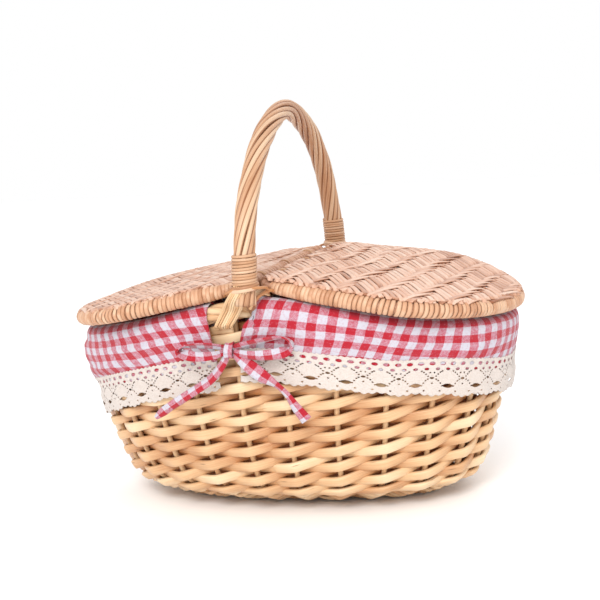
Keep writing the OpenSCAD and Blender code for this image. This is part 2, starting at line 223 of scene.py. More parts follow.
RIM_ANGLES = np.radians(np.arange(-90, 271, 0.5))
RIM_WAYS = way_along(rim(RIM_ANGLES)[:, :2])
RIM_LENGTH = RIM_WAYS[-1]


def t_at(share):
    """Angle at a share of the way round the rim, counted from the middle of the near side."""
    share = np.asarray(share, float)
    turns = np.floor(share)
    return np.interp((share - turns) * RIM_LENGTH, RIM_WAYS, RIM_ANGLES) + 2 * PI * turns


def stake_t(w):
    """Angle of stake number w; a whole w is a stake, and fractions lie between stakes."""
    return t_at((np.asarray(w, float) + 0.5) / STAKES)


HEIGHTS = np.linspace(0, 190, 1901)
CLIMBS = np.concatenate([[0], np.cumsum(np.hypot(np.diff(HEIGHTS), np.diff(draw_in(HEIGHTS))))])


def z_at(climb):
    """Height at a distance climbed over the wall from its lowest edge."""
    return np.interp(climb, CLIMBS, HEIGHTS)


def climb_at(z):
    return np.interp(z, HEIGHTS, CLIMBS)


# ---------- meshes of swept rods ----------


class Rods:
    """Collects swept rods into one mesh, with what the willow materials read: grain (place along and round
    the rod), tone (light or dark, one value for a rod or a turn) and its depth in the weave, which the
    materials paint as shade (deeper is darker)."""

    def __init__(self, seed):
        self.random = random.Random(seed)
        self.parts = []
        self.count = 0

    def add(self, path, out, wide, thick, tone=None, deep=0.0, sides=8, closed=False, power=1.0):
        """path is (n, 3) in millimetres, out points away from the surface, wide and thick are half sizes."""
        path = np.asarray(path, float)
        n = len(path)
        if closed:
            tangent = np.roll(path, -1, 0) - np.roll(path, 1, 0)
        else:
            tangent = np.gradient(path, axis=0)
        tangent = unit(tangent)
        out = np.broadcast_to(np.asarray(out, float), path.shape)
        out = unit(out - (out * tangent).sum(1)[:, None] * tangent)
        side = np.cross(tangent, out)
        a = np.arange(sides) * 2 * PI / sides
        wide = np.broadcast_to(np.asarray(wide, float), n)[:, None]
        thick = np.broadcast_to(np.asarray(thick, float), n)[:, None]
        c, s = spow(np.cos(a), power)[None] * wide, spow(np.sin(a), power)[None] * thick
        points = path[:, None] + c[..., None] * side[:, None] + s[..., None] * out[:, None]
        along = way_along(path) + self.random.random() * 900
        grain = xyz(along[:, None], c, s)
        i = np.arange(n if closed else n - 1)[:, None] * sides
        j = np.arange(sides)[None]
        k = (j + 1) % sides
        up = (i + sides) % (n * sides)
        quads = np.stack(np.broadcast_arrays(i + j, i + k, up + k, up + j), -1).reshape(-1, 4) + self.count
        caps = []
        if not closed:
            caps = [list(range(self.count + sides - 1, self.count - 1, -1)),
                    list(range(self.count + (n - 1) * sides, self.count + n * sides))]
        tone = self.random.random() if tone is None else tone
        marks = [np.broadcast_to(np.reshape(mark, (-1, 1)), (n, sides)).ravel() for mark in (tone, deep)]
        self.parts.append((points.reshape(-1, 3), quads, caps, grain.reshape(-1, 3), *marks))
        self.count += n * sides

    def build(self, name, material, body="basket", nodes=None):
        """Makes the mesh, which replaces the node of its own name unless other nodes are given."""
        points, quads, caps, *marks = zip(*self.parts)
        faces = [face for q, c in zip(quads, caps) for face in q.tolist() + c]
        obj = new_mesh(name, np.concatenate(points) * MM, faces, material)
        for kind, values in zip(("grain", "tone", "deep"), marks):
            set_attribute(obj.data, kind, np.concatenate(values))
        place(obj, body, [name] if nodes is None else nodes)


def new_mesh(name, points, faces, material):
    mesh = bpy.data.meshes.new(name)
    mesh.from_pydata(np.asarray(points).tolist(), [], faces)
    mesh.polygons.foreach_set("use_smooth", [True] * len(mesh.polygons))
    mesh.materials.append(material)
    mesh.update()
    obj = bpy.data.objects.new(name + "_look", mesh)
    bpy.context.scene.collection.objects.link(obj)
    return obj


def set_attribute(mesh, name, values):
    values = np.asarray(values, np.float32)
    kind = "FLOAT_VECTOR" if values.ndim == 2 else "FLOAT"
    key = "vector" if values.ndim == 2 else "value"
    mesh.attributes.new(name, kind, "POINT").data.foreach_set(key, values.ravel())


def place(obj, body, nodes):
    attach(obj, body)
    if nodes:
        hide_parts(*nodes)


def wander(rng, n, size, knots):
    """A smooth random wobble of n values, at most size high, that turns at a number of knots."""
    v = np.array([rng.uniform(-1, 1) for _ in range(knots + 3)])
    x = np.linspace(0, knots, n)
    i = np.minimum(x.astype(int), knots - 1)
    f = smooth(x - i)
    return size * (v[i] * (1 - f) + v[i + 1] * f)


# ---------- materials ----------

ALBEDO = 0.86            # every colour of a ramp is scaled by this
THREAD = 0.75            # two threads of the gingham side by side
DARK_KNOT = (0.19, 0.085, 0.035)
GINGHAM_WHITE, GINGHAM_PINK, GINGHAM_RED = (0.64, 0.62, 0.69), (0.56, 0.20, 0.26), (0.48, 0.014, 0.03)
LINER_GAP_SHADE = (0.85, 0.36, 0.15)    # painted shade: the liner's outer face, coloured dark brown as if in the shade seen between the rods


class Nodes:
    """Short hand for building a shader tree."""

    def __init__(self, name):
        self.material = bpy.data.materials.new(name)
        self.material.use_nodes = True
        self.tree = self.material.node_tree
        self.shader = self.tree.nodes["Principled BSDF"]

    def new(self, kind, **settings):
        node = self.tree.nodes.new(kind)
        for key, value in settings.items():
            setattr(node, key, value)
        return node

    def join(self, source, target):
        self.tree.links.new(source, target)

    def feed(self, socket, value):
        if isinstance(value, bpy.types.NodeSocket):
            self.join(value, socket)
        else:
            socket.default_value = value

    def attribute(self, name, vector=False):
        """What a mesh says at each place, by name."""
        node = self.new("ShaderNodeAttribute", attribute_name=name)
        return node.outputs["Vector" if vector else "Fac"]

    def math(self, kind, a, b=0.0, clamp=False):
        node = self.new("ShaderNodeMath", operation=kind, use_clamp=clamp)
        self.feed(node.inputs[0], a)
        self.feed(node.inputs[1], b)
        return node.outputs[0]

    def add(self, a, b, clamp=False):
        return self.math("ADD", a, b, clamp)

    def less(self, a, b, clamp=False):
        return self.math("SUBTRACT", a, b, clamp)

    def times(self, a, b, clamp=False):
        return self.math("MULTIPLY", a, b, clamp)

    def scaled(self, vector, scale):
        node = self.new("ShaderNodeVectorMath", operation="MULTIPLY")
        self.join(vector, node.inputs[0])
        node.inputs[1].default_value = scale
        return node.outputs[0]

    def noise(self, vector, scale, detail, rough=0.5):
        vector = self.scaled(vector, scale)
        node = self.new("ShaderNodeTexNoise")
        self.join(vector, node.inputs["Vector"])
        for key, value in (("Scale", 1.0), ("Detail", detail), ("Roughness", rough)):
            node.inputs[key].default_value = value
        return node.outputs["Fac"]

    def spots(self, vector, scale):
        """Distance from the nearest of many scattered places."""
        node = self.new("ShaderNodeTexVoronoi", feature="F1")
        self.join(self.scaled(vector, scale), node.inputs["Vector"])
        node.inputs["Scale"].default_value = 1.0
        return node.outputs["Distance"]

    def parts(self, vector):
        node = self.new("ShaderNodeSeparateXYZ")
        self.join(vector, node.inputs[0])
        return node.outputs

    def ramp(self, value, stops):
        node = self.new("ShaderNodeValToRGB")
        ramp = node.color_ramp
        while len(ramp.elements) < len(stops):
            ramp.elements.new(0.5)
        for element, (at, colour) in zip(ramp.elements, stops):
            element.position = at
            element.color = (*(ALBEDO * v for v in colour), 1)
        self.feed(node.inputs[0], value)
        return node.outputs[0]

    def mix(self, factor, a, b):
        node = self.new("ShaderNodeMix", data_type="RGBA", blend_type="MIX")
        self.feed(node.inputs[0], factor)
        for socket, value in ((node.inputs[6], a), (node.inputs[7], b)):
            self.feed(socket, value if isinstance(value, bpy.types.NodeSocket) else (*value, 1))
        return node.outputs[2]

    def bump(self, height, strength, distance):
        node = self.new("ShaderNodeBump")
        self.join(height, node.inputs["Height"])
        node.inputs["Strength"].default_value = strength
        node.inputs["Distance"].default_value = distance
        self.join(node.outputs[0], self.shader.inputs["Normal"])

    def surface(self, colour, roughness, *levels):
        """Colour, roughness and further named levels of the surface."""
        self.feed(self.shader.inputs["Base Color"], colour)
        for key, value in (("Roughness", roughness), *levels):
            self.feed(self.shader.inputs[key], value)


def willow(name, pale, mid, dark, knots=1.0, roughness=0.42, streak=0.5, edge=None, vary=0.62):
    """Peeled or split willow: streaks along each rod, its tone, painted shade deep in the weave, small knots;
    edge darkens a rod's edges from that distance off its middle (partly darker skin at the edges, partly
    painted shade where rods meet), vary is the range of tones."""
    m = Nodes(name)
    grain = m.attribute("grain", vector=True)
    tone = m.attribute("tone")
    deep = m.attribute("deep")
    fibres = m.noise(grain, (0.035, 1.6, 1.6), 5, 0.62)
    patches = m.noise(grain, (0.02, 0.05, 0.05), 2)
    shade = m.add(m.times(fibres, streak), m.times(patches, 0.55))
    shade = m.add(shade, m.times(m.less(tone, 0.5), vary))
    # painted shade: the deeper a rod lies in the weave, the darker its colour
    shade = m.add(shade, m.times(deep, -0.38), clamp=True)
    colour = m.ramp(shade, [(0.05, dark), (0.44, mid), (0.8, pale)])
    knot = m.times(m.less(0.1, m.spots(grain, (0.022, 0.16, 0.16))), 14.0, clamp=True)
    colour = m.mix(m.times(knot, 0.75 * knots), colour, DARK_KNOT)
    # darker edges: partly the darker skin at a strip's edges, partly painted shade where rods meet
    if edge:
        side = m.times(m.less(m.math("ABSOLUTE", m.parts(grain)[1]), edge), 2.2, clamp=True)
        colour = m.mix(m.times(side, 0.8), colour, dark)
    gloss = m.add(m.times(fibres, 0.25), roughness - 0.1)
    m.surface(colour, gloss, ("Specular IOR Level", 0.45), ("Coat Weight", 0.12), ("Coat Roughness", 0.3))
    m.bump(m.add(fibres, m.times(knot, -0.4)), 0.45, 0.0006)
    return m.material


def gingham(name):
    """Woven check: full red where red threads cross, half tone where red crosses white."""
    m = Nodes(name)
    cloth = m.attribute("cloth", vector=True)
    across = m.parts(cloth)
    wobble = m.noise(cloth, (0.09, 0.09, 0.09), 2)
    stripes = []
    for axis in (0, 1):
        place_in = m.add(across[axis], m.times(m.less(wobble, 0.5), 0.9))
        wave = m.math("FRACT", m.math("DIVIDE", place_in, 2 * CHECK))
        rise = m.times(m.less(0.5, m.math("ABSOLUTE", m.less(wave, 0.5))), 60.0)
        stripes.append(m.less(rise, 14.5, clamp=True))
    threads = [m.math("SINE", m.times(across[axis], 2 * PI / THREAD)) for axis in (0, 1)]
    over = m.add(m.times(m.times(*threads), 0.5), 0.5)
    fuzz = m.noise(cloth, (0.42, 0.42, 0.42), 4, 0.8)
    folds = m.noise(cloth, (0.045, 0.022, 0.045), 2)
    amount = m.add(m.times(stripes[0], over), m.times(stripes[1], m.less(1.0, over)))
    amount = m.add(m.times(amount, 0.45), m.times(m.add(*stripes), 0.275))
    amount = m.add(amount, m.times(m.less(fuzz, 0.5), 1.5), clamp=True)
    colour = m.ramp(amount, [(0.0, GINGHAM_WHITE), (0.5, GINGHAM_PINK), (0.93, GINGHAM_RED)])
    # painted shade: the liner's outer face takes a dark brown, as if in the shade behind the weave
    colour = m.mix(m.attribute("dim"), colour, LINER_GAP_SHADE)
    m.surface(colour, 0.86, ("Specular IOR Level", 0.2), ("Sheen Weight", 0.25))
    relief = m.add(m.times(fuzz, 2.0), m.times(folds, 34.0))
    m.bump(m.add(over, relief), 0.5, 0.0003)
    return m.material


def lace_cotton(name):
    """Crochet cotton: cream thread with rows of stitches standing proud."""
    m = Nodes(name)
    cloth = m.attribute("cloth", vector=True)
    stitches = m.spots(cloth, (0.75, 1.0, 0.75))
    fuzz = m.noise(cloth, (2.2, 2.2, 2.2), 4, 0.7)
    shade = m.add(m.times(stitches, 0.5), m.times(fuzz, 0.4))
    colour = m.ramp(shade, [(0.1, (0.82, 0.74, 0.69)), (0.75, (0.70, 0.60, 0.53))])
    m.surface(colour, 0.9, ("Specular IOR Level", 0.15), ("Sheen Weight", 0.3))
    m.bump(m.less(fuzz, stitches), 0.6, 0.0006)
    return m.material


WILLOW = willow("willow_peeled", (0.97, 0.745, 0.48), (0.83, 0.525, 0.28), (0.50, 0.19, 0.06), vary=0.42)
SKEIN = willow("willow_split", (0.75, 0.50, 0.33), (0.59, 0.32, 0.17), (0.32, 0.11, 0.035), knots=0.4)
HANDLE_WILLOW = willow("willow_handle", (0.74, 0.50, 0.32), (0.58, 0.31, 0.165), (0.26, 0.09, 0.03),
                       knots=0.8, streak=0.75, edge=1.55, vary=0.85)
LID_WILLOW = willow("willow_lid", (0.82, 0.565, 0.43), (0.73, 0.41, 0.275), (0.33, 0.11, 0.04), knots=0.5,
                    edge=2.0, vary=0.6)
HOOP_WILLOW = willow("willow_hoop", (0.78, 0.51, 0.33), (0.65, 0.345, 0.195), (0.34, 0.11, 0.03), knots=0.5,
                     vary=0.4)
BAR_WILLOW = willow("willow_bar", (0.74, 0.45, 0.31), (0.60, 0.30, 0.175), (0.32, 0.11, 0.045), knots=0.5)
GINGHAM = gingham("gingham")
LACE = lace_cotton("lace_cotton")

# ---------- woven body ----------

WEAVE_MID = 6.5          # the stakes stand this far inside the outer surface
PASS = 5.0               # a weaver's middle line passes this far in front of or behind a stake
RANDING_LOW = 47.0       # climb over the wall at which the randing starts
ROW = 7.1                # climb of one weaver from one stake to the next


def side_stakes():
    rods = Rods(11)
    for i in range(STAKES):
        t = stake_t(i)
        top = float(rim(t)[2]) - 1
        z = z_at(np.linspace(4, climb_at(top), 44))
        path = wall_off(t, z, np.full_like(z, -WEAVE_MID))
        rods.add(path, wall_normal(t, z), STAKE_R, STAKE_R, tone=0.35, deep=0.1, sides=10)
    rods.build("side_stakes", WILLOW)


def bent(w):
    """How far a weaver stands out (1) or in (-1): straight between stakes, bent sharply at each."""
    return np.arcsin(0.985 * np.cos(PI * w)) / math.asin(0.985)


def side_weave():
    """French randing: one weaver starts at every stake and climbs one row at each stake it passes."""
    per_stake = 13
    rng = random.Random(5)
    groups = 4
    rows = 22
    for g in range(groups):
        rods = Rods(20 + g)
        for j in range(g, STAKES, groups):
            level = np.linspace(-0.85, rows, int((rows + 0.85) * per_stake))
            t = stake_t(j + level)
            front = bent(level)
            kink = 1.9 - 1.5 * np.clip(level / 16, 0, 1)
            climb = RANDING_LOW + 0.8 + ROW * level - kink * front + wander(rng, len(level), 0.35, 40)
            z = z_at(climb)
            limit = rim(t)[:, 2] - BORDER_R - 2
            over = z - limit
            keep = np.argmax(over > 9) if (over > 9).any() else len(z)
            z = np.minimum(z, limit)
            taper = 1.04 - 0.12 * np.clip(level / rows, 0, 1)
            size = taper * (1 + rng.uniform(-0.05, 0.05))
            path = wall_off(t, z, -WEAVE_MID + front * PASS + wander(rng, len(z), 0.2, 30), np.ones_like(z))
            normal = wall_normal(t, z)
            wide = size * (4.0 + 0.35 * front)
            # painted shade: passes behind the stakes are coloured darker than passes in front
            deep = 0.5 - 0.5 * front
            rods.add(path[:keep], normal[:keep], wide[:keep], 2.0 * size[:keep], deep=deep[:keep], sides=12,
                     power=0.6)
        rods.build("side_weavers_" + "abcd"[g], WILLOW, nodes=["side_weave"] if g == 0 else [])


def paired_ring(rods, rng, climb, rise, size, start):
    """One round of pairing: two rods that cross between stakes, low in front of one, high behind the next."""
    for r in range(2):
        w = np.linspace(0, STAKES, STAKES * 14, endpoint=False)
        bend = bent(w + r + start)
        z = z_at(climb - rise * bend + wander(rng, len(w), 0.4, 24))
        path = wall_off(stake_t(w), z, -WEAVE_MID - 0.8 + bend * PASS)
        rods.add(path, wall_normal(stake_t(w), z), size * 1.15, size * 0.85, deep=0.5 - 0.5 * bend, sides=10,
                 closed=True, power=0.8)


def base_wale():
    rods = Rods(31)
    rng = random.Random(8)
    for ring_sizes in ((9, 1.5, 2.6, 0), (17, 4.4, 2.4, 1), (29, 5.8, 2.3, 0), (41, 5.8, 2.4, 1)):
        paired_ring(rods, rng, *ring_sizes)
    rods.build("base_wale", WILLOW)


def base_rods():
    """Crossed sticks of the base, and oval rounds woven over and under them."""
    z_mid = 6.0
    long_half, short_half = 116.0, 46.0
    sticks = Rods(41)
    for y in (-12.0, 0.0, 12.0):
        x = np.linspace(-long_half, long_half, 60)
        sticks.add(xyz(x, y, z_mid), UP, 2.6, 2.4, deep=0.3)
    for x0 in np.arange(-75, 76, 25.0):
        half = short_half - 6 * (abs(x0) / 75) ** 2
        y = np.linspace(-half, half, 40)
        sticks.add(xyz(x0, y, z_mid), UP, 2.4, 2.2, deep=0.3)
    sticks.build("base_sticks", WILLOW)
    weave = Rods(42)
    rng = random.Random(3)
    spokes = 24
    for k in range(11):
        grow = 3.4 * k
        a = ring(360)
        x, y = oval(84 + grow, 14 + grow, a)
        share = np.interp(a, [0, 2 * PI], [0, spokes])
        z = z_mid + 3.0 * np.cos(PI * (share + k)) + wander(rng, len(a), 0.2, 12)
        weave.add(xyz(x, y, z), UP, 1.75, 1.5, deep=0.4, closed=True)
    for y0 in np.arange(-11, 12, 3.3):
        x = np.linspace(-88, 88, 120)
        z = z_mid + 2.8 * np.cos(PI * (x / 25 + round(y0 / 3.3)))
        weave.add(xyz(x, y0, z), UP, 1.6, 1.4, deep=0.5)
    weave.build("base_weave", WILLOW)


def top_border():
    """Rolled border: five rods laid round each other along the rim."""
    rods = Rods(51)
    rng = random.Random(4)
    strands, turns, n = 5, 8, 480
    t = t_at(np.linspace(0, 1, n, endpoint=False))
    along = np.linspace(0, 2 * PI * turns, n, endpoint=False)
    middle = rim(t)
    middle[:, 2] += 4.0 * (1 - smooth((np.abs(middle[:, 0]) - 30) / 40))
    outward = unit(rim(t, 1.0) - rim(t, -1.0))
    for k in range(strands):
        direction = around(-along + 2 * PI * k / strands, outward, UP)
        path = middle + direction * (4.7 + wander(rng, n, 0.25, 30))[:, None]
        rods.add(path, direction, 3.1, 3.0, deep=0.15, sides=10, closed=True)
    rods.build("top_border", WILLOW)


# ---------- handle ----------


def arch(a):
    """The middle line of the handle at an angle a from 0 at the near foot to pi at the far one."""
    a = np.asarray(a, float)
    y = -HANDLE_W * spow(np.cos(a), ARCH_POW_Y)
    z = FOOT_Z + (HANDLE_TOP - FOOT_Z) * np.maximum(np.sin(a), 0) ** ARCH_POW_Z
    return xyz(0.0, y, z)


def even_arch(step):
    """Points of the arch a fixed step apart, and their distance along it."""
    dense = arch(np.linspace(0, PI, 2000))
    way = way_along(dense)
    s = np.arange(0, way[-1], step)
    return points_at(s, way, dense), s


def arch_at_height(z):
    """Half the width of the arch at a height."""
    f = (np.asarray(z, float) - FOOT_Z) / (HANDLE_TOP - FOOT_Z)
    return HANDLE_W * (1 - np.maximum(f, 0) ** (2 / ARCH_POW_Z)) ** (ARCH_POW_Y / 2)


def handle_rods():
    """Ten rods laid round the core, turning once in 200 mm."""
    rods = Rods(61)
    rng = random.Random(6)
    strands, pitch = 10, 200.0
    points, s = even_arch(3.0)
    tangent = unit(np.gradient(points, axis=0))
    across = np.array([1.0, 0.0, 0.0])
    inward = np.cross(tangent, across)
    for k in range(strands):
        size = 2.1 * (1 + rng.uniform(-0.12, 0.14))
        angle = 2 * PI * (s / pitch + k / strands) + wander(rng, len(s), 0.1, 9)
        direction = around(angle, across, inward)
        radius = HANDLE_R - size + wander(rng, len(s), 0.35, 12)
        rods.add(points + direction * radius[:, None], direction, size * 1.06, size * 0.96, sides=12)
    rods.build("handle_rods", HANDLE_WILLOW)


def core_path():
    """The core's near foot, bent in behind the border and down inside the weave, and its radius."""
    heights = np.array([200, 196, 190, 184, 177, 168, 155, 135, 110, 85, 72.0])
    inside = BODY_B - draw_in(heights) - lean(heights) - 11.0
    y = [142.6, 141.6, 137.0, 130.0, 123.5, 118.0, *inside[6:]]
    radii = [4.9, 4.9, 4.8, 4.4, 3.9, 3.5, 3.2, 3.0, 2.8, 2.6, 2.4]
    u = np.linspace(0, len(heights) - 1, 70)
    return xyz(0.0, -smooth_curve(y, u), smooth_curve(heights, u)), smooth_curve(radii, u)


def handle_core():
    rods = Rods(62)
    foot, foot_r = core_path()
    points, _ = even_arch(5.0)
    points = points[points[:, 2] > 203]
    path = np.concatenate([foot[::-1], points, foot * np.array([1, -1, 1])])
    size = np.concatenate([foot_r[::-1], np.full(len(points), 4.9), foot_r])
    rods.add(path, (1, 0, 0), size, size, tone=0.6, deep=0.1, sides=14)
    rods.build("handle_core", HANDLE_WILLOW)


def turned(points, back):
    """Near side as drawn, or turned half round the upright axis for the far side."""
    return points * np.array([-1, -1, 1]) if back else points


def handle_binding(name, back):
    """Whipping of split willow round one foot of the handle."""
    rods = Rods(71 + back)
    rng = random.Random(17 + back)
    turns, per_turn = 10, 26
    n = turns * per_turn
    f = np.linspace(0, 1, n)
    z = BINDING_LOW + 3.4 + (BINDING_HIGH - BINDING_LOW - 4.6) * f
    a = 2 * PI * turns * f
    out = xyz(np.cos(a), np.sin(a), 0.0)
    middle = xyz(0.0, -arch_at_height(z), z + wander(rng, n, 0.25, turns * 2))
    tone = np.array([rng.random() for _ in range(turns + 1)])[(f * turns).astype(int)]
    path = middle + out * (HANDLE_R + 0.65)
    rods.add(turned(path, back), turned(out, back), 1.16, 0.85, tone=0.2 + 0.5 * tone)
    for k, (low, reach) in enumerate(((200.2, 10.3), (197.9, 10.8))):
        b = ring(60)
        path = xyz(reach * np.cos(b) - 0.4 * k, -arch_at_height(low) + 10.4 * np.sin(b),
                   low + 0.5 * np.sin(b + k) + 0.9 * np.cos(b))
        rods.add(turned(path, back), turned(xyz(np.cos(b), np.sin(b), 0.0), back), 1.65, 1.0, closed=True)
    rods.build(name, SKEIN)


def handle_lashing(name, back):
    """The fan of thin rods from the whipping down over the border, slanting to one side."""
    rods = Rods(81 + back)
    rng = random.Random(27 + back)
    strands = 8
    for layer in range(2):
        for k in range(strands):
            f = (k + 0.5 * layer) / (strands - 1)
            x_top = -6.0 + 11.5 * f + rng.uniform(-0.3, 0.3)
            x_low = -32.0 + 12.5 * f + rng.uniform(-0.6, 0.6)
            under = 1.3 * layer
            bulge = 2.6 * math.cos(PI * (min(f, 1) - 0.5))
            spread = -1.8 * max(0, 1 - f) ** 0.8
            top = HANDLE_W + bulge
            y = np.array([top + 7.0, top + 6.3, top + 1.0, BODY_B + 8.5, BODY_B + 5.2, BODY_B + 2.5,
                          BODY_B - 3.0]) - under
            z = np.array([201, 195, 188, 180, 173, 167, 164.0]) + rng.uniform(-0.4, 0.4)
            part = np.array([0, 0.12, 0.32, 0.55, 0.76, 0.95, 1.0])
            x = x_top + (x_low - x_top) * part + spread * np.sin(PI * part)
            path = smooth_path(xyz(x, -y, z), np.linspace(0, 6, 30))
            rods.add(turned(path, back), turned(np.array([0.0, -1.0, 0.3]), back), 0.8, 0.8)
    cross = ((-21, -130, 191), (-14, -145, 195.5), (-5, -150.6, 198.6), (4, -150.8, 199.5), (11, -145, 199),
             (15, -135, 197.5), (14, -127, 193))
    curls = (((18, -123, 193), (15, -130, 194.5), (10, -134.5, 192), (6, -136, 188), (3, -134, 184)),
             ((13, -122, 190), (10, -129, 192), (6, -134, 189), (3, -135.5, 185), (0, -133, 181)))
    for line, tone in ((cross, 0.0), (curls[0], 0.1), (curls[1], 0.7)):
        path = smooth_path(line, np.linspace(0, len(line) - 1, 40))
        away = path - np.array([0.0, -BODY_B + 4, 185.0])
        rods.add(turned(path, back), turned(away, back), 1.35, 1.1, tone=tone, deep=0.5)
    rods.build(name, WILLOW)


# ---------- hinge ----------


def crossbar():
    rods = Rods(91)
    y = np.linspace(-CROSSBAR_HALF, CROSSBAR_HALF, 90)
    size = CROSSBAR_R + wander(random.Random(2), 90, 0.12, 14)
    rods.add(xyz(0.0, y, CROSSBAR_Z), UP, size, size, tone=0.5, deep=0.2, sides=16)
    rods.build("crossbar", WILLOW)


def loop_outline(steps):
    """A belt round the lid's stick and the crossbar, seen along Y."""
    thick = 1.05
    c1, r1 = np.array([HINGE_X, HINGE_Z]), BAR_R + thick + 0.15
    c2, r2 = np.array([0.0, CROSSBAR_Z]), CROSSBAR_R + thick
    d = c1 - c2
    aim = math.atan2(d[1], d[0])
    spread = math.acos((r2 - r1) / np.linalg.norm(d))
    top = np.linspace(aim - spread, aim + spread, steps)
    low = np.linspace(aim + spread, aim - spread + 2 * PI, steps)
    return np.concatenate([c1 + r1 * np.stack([np.cos(top), np.sin(top)], -1),
                           c2 + r2 * np.stack([np.cos(low), np.sin(low)], -1)])


def hinge_loops(name, back):
    """Three loops for one lid, each of two turns round its stick and the crossbar."""
    rods = Rods(95 + back)
    outline = loop_outline(16)
    middle = np.array([HINGE_X / 2, (HINGE_Z + CROSSBAR_Z) / 2])
    for y0 in LOOP_YS:
        for y in (y0 - 0.95, y0 + 0.95):
            path = xyz(outline[:, 0], y, outline[:, 1])
            away = path - np.array([middle[0], y, middle[1]])
            rods.add(turned(path, back), turned(away, back), 0.95, 0.8, closed=True)
    rods.build(name, SKEIN)


# ---------- lids ----------


def lid_side(x):
    """Half the lid's width, which narrows a little to the hinge."""
    return LID_B - LID_NARROW * ((LID_WIDE_X - x) / LID_WIDE_X) ** 2


def lid_half(inset=0.0):
    """Outline of the near half of a lid, from its hinge corner to its tip, drawn flat."""
    end = HINGE_X + LID_CORNER_X
    a = np.radians(np.arange(0, 90, 9.0))
    side_at_end = lid_side(end)
    corner = np.stack([end - (LID_CORNER_X - inset) * np.cos(a),
                       -BAR_HALF - (side_at_end - BAR_HALF - inset) * np.sin(a)], -1)
    x = np.linspace(end, LID_WIDE_X, 16)
    side = np.stack([x, -lid_side(x) + inset], -1)
    b = np.radians(np.arange(86, -0.1, -3.0))
    tip = np.stack([LID_WIDE_X + (LID_A - LID_WIDE_X - inset) * np.cos(b) ** (2 / LID_END_N),
                    -(LID_B - inset) * np.maximum(np.sin(b), 0) ** (2 / LID_END_N)], -1)
    return np.concatenate([corner, side, tip])


def lid_outline(inset=0.0):
    half = lid_half(inset)
    return np.concatenate([half, (half[:-1] * np.array([1, -1]))[::-1]])


def lid_warp(p, back):
    """How far the far edge of each lid has risen out of its plane."""
    if back:
        return 2.5 * np.exp(-((p[..., 0] - 160) / 45) ** 2) * smooth(-p[..., 1] / 80)
    return 4.0 * np.exp(-((p[..., 0] - 112) / 55) ** 2) * smooth(p[..., 1] / 110)


def on_lid(points, back, free=False):
    """From the flat drawing of a lid to its closed place; free turns a direction and moves nothing."""
    p = np.asarray(points, float)
    if not free:
        p = p + UP * lid_warp(p, back)[..., None]
    x = p[..., 0] - (0 if free else HINGE_X)
    c, s = math.cos(LID_TILT), math.sin(LID_TILT)
    moved = xyz(x * c + p[..., 2] * s, p[..., 1], -x * s + p[..., 2] * c)
    if not free:
        moved = moved + np.array([HINGE_X, 0, HINGE_Z])
    return turned(moved, back)


def inside(points, outline):
    """Which points lie inside a closed outline."""
    x, y = points[:, 0], points[:, 1]
    result = np.zeros(len(points), bool)
    ends = np.roll(outline, -1, 0)
    for (x0, y0), (x1, y1) in zip(outline, ends):
        if y0 == y1:
            continue
        crosses = (y0 > y) != (y1 > y)
        result ^= crosses & (x < (x1 - x0) * (y - y0) / (y1 - y0) + x0)
    return result


def edge_distance(points, outline):
    """Distance of points from a closed outline, below nought outside it."""
    dense, _ = even_path(np.concatenate([outline, outline[:1]]), 1.5)
    gap = np.linalg.norm(points[:, None] - dense[None], axis=2).min(1)
    return np.where(inside(points, outline), gap, -gap)


def panel_height(x, edge, back):
    """Height of the woven panel over the lid's middle plane; it curls down outside the hoop."""
    fall = 0.13 * np.maximum(1.5 - edge, 0) ** 2
    if not back:
        return 6.8 + 0.8 * smooth((x - HINGE_X) / 20) + 3.0 * smooth(edge / 90) - fall
    near_bar = smooth((x - HINGE_X - 6) / 30)
    return 2.8 + (4.0 - fall) * near_bar


